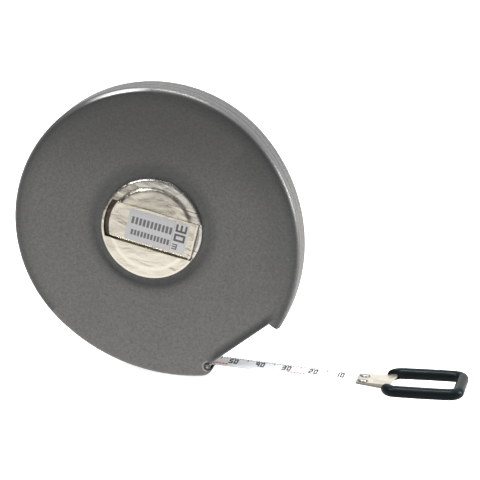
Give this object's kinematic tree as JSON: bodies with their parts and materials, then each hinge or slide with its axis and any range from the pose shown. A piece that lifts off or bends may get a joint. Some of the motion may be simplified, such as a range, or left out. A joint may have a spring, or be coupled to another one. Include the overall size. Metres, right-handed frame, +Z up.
{
  "type": "long steel tape measure",
  "caption": "Closed-case long steel tape with a folding crank arm let into the winding disc, and a vinyl-dipped loop on the tape's end.",
  "frame": {"origin": "on the reel's axis, halfway through the case's thickness", "axes": "+X along the tape as it leaves the case, +Z up, the reel's axis along Y with the crank side facing -Y"},
  "size_m": [0.1708, 0.025, 0.1085],
  "materials": {
    "case_paint": "dark grey metallic lacquer with a fine grain",
    "nickel": "nickel plate, polished, slightly warm and worn",
    "steel": "bright zinc-plated or turned steel",
    "brass": "turned brass",
    "dark_steel": "blackened steel",
    "fibre": "vulcanised fibre",
    "tape_lacquer": "white lacquered steel tape with black graduations",
    "foil_label": "silver foil label, satin",
    "vinyl": "black dipped vinyl, soft gloss"
  },
  "bodies": {
    "case": {"front_cover": "case_paint", "back_cover": "case_paint", "case_posts": "steel", "case_screws": "steel", "mouth_bracket": "dark_steel", "roller_pin": "steel", "tape_guide": "nickel", "front_bearing": "brass", "back_bush": "brass", "front_slip_washer": "fibre", "back_slip_washer": "fibre"},
    "drum": {"drum_core": "steel", "anchor_rivet": "steel", "spindle": "steel", "spring_washer": "steel", "spindle_washer": "nickel", "spindle_screw": "nickel", "tape_coil": "tape_lacquer", "winding_disc": "nickel", "hinge_pin": "steel"},
    "crank": {"crank_arm": "nickel", "label_plate": "foil_label", "knob_pin": "steel"},
    "knob": {"crank_knob": "nickel"},
    "roller": {"mouth_roller": "nickel"},
    "tape_end": {"tape_blade": "tape_lacquer", "end_plate": "nickel", "end_rivets": "nickel", "ring_grip": "vinyl"}
  },
  "joints": [
    {"name": "tape_pull", "type": "slide", "parent": "case", "child": "tape_end", "axis": [1, 0, 0], "range_m": [-0.05, 0.234], "deforming": ["tape_blade"]},
    {"name": "drum_spin", "type": "hinge", "parent": "case", "child": "drum", "pos_m": [0, 0, 0], "axis": [0, -1, 0], "range_deg": [-63.6, 296.8]},
    {"name": "crank_fold", "type": "hinge", "parent": "drum", "child": "crank", "pos_m": [0.01571, -0.00735, -0.00305], "axis": [0.1908, 0, 0.9816], "range_deg": [0, 180]},
    {"name": "knob_spin", "type": "hinge", "parent": "crank", "child": "knob", "pos_m": [-0.00707, -0.003, 0.00137], "axis": [0, 1, 0], "continuous": true},
    {"name": "roller_spin", "type": "hinge", "parent": "case", "child": "roller", "pos_m": [0.0228, 0, -0.05155], "axis": [0, 1, 0], "continuous": true}
  ],
  "couplings": [
    {"joint": "drum_spin", "follows": "tape_pull", "rad_per_m": 22.124}
  ]
}
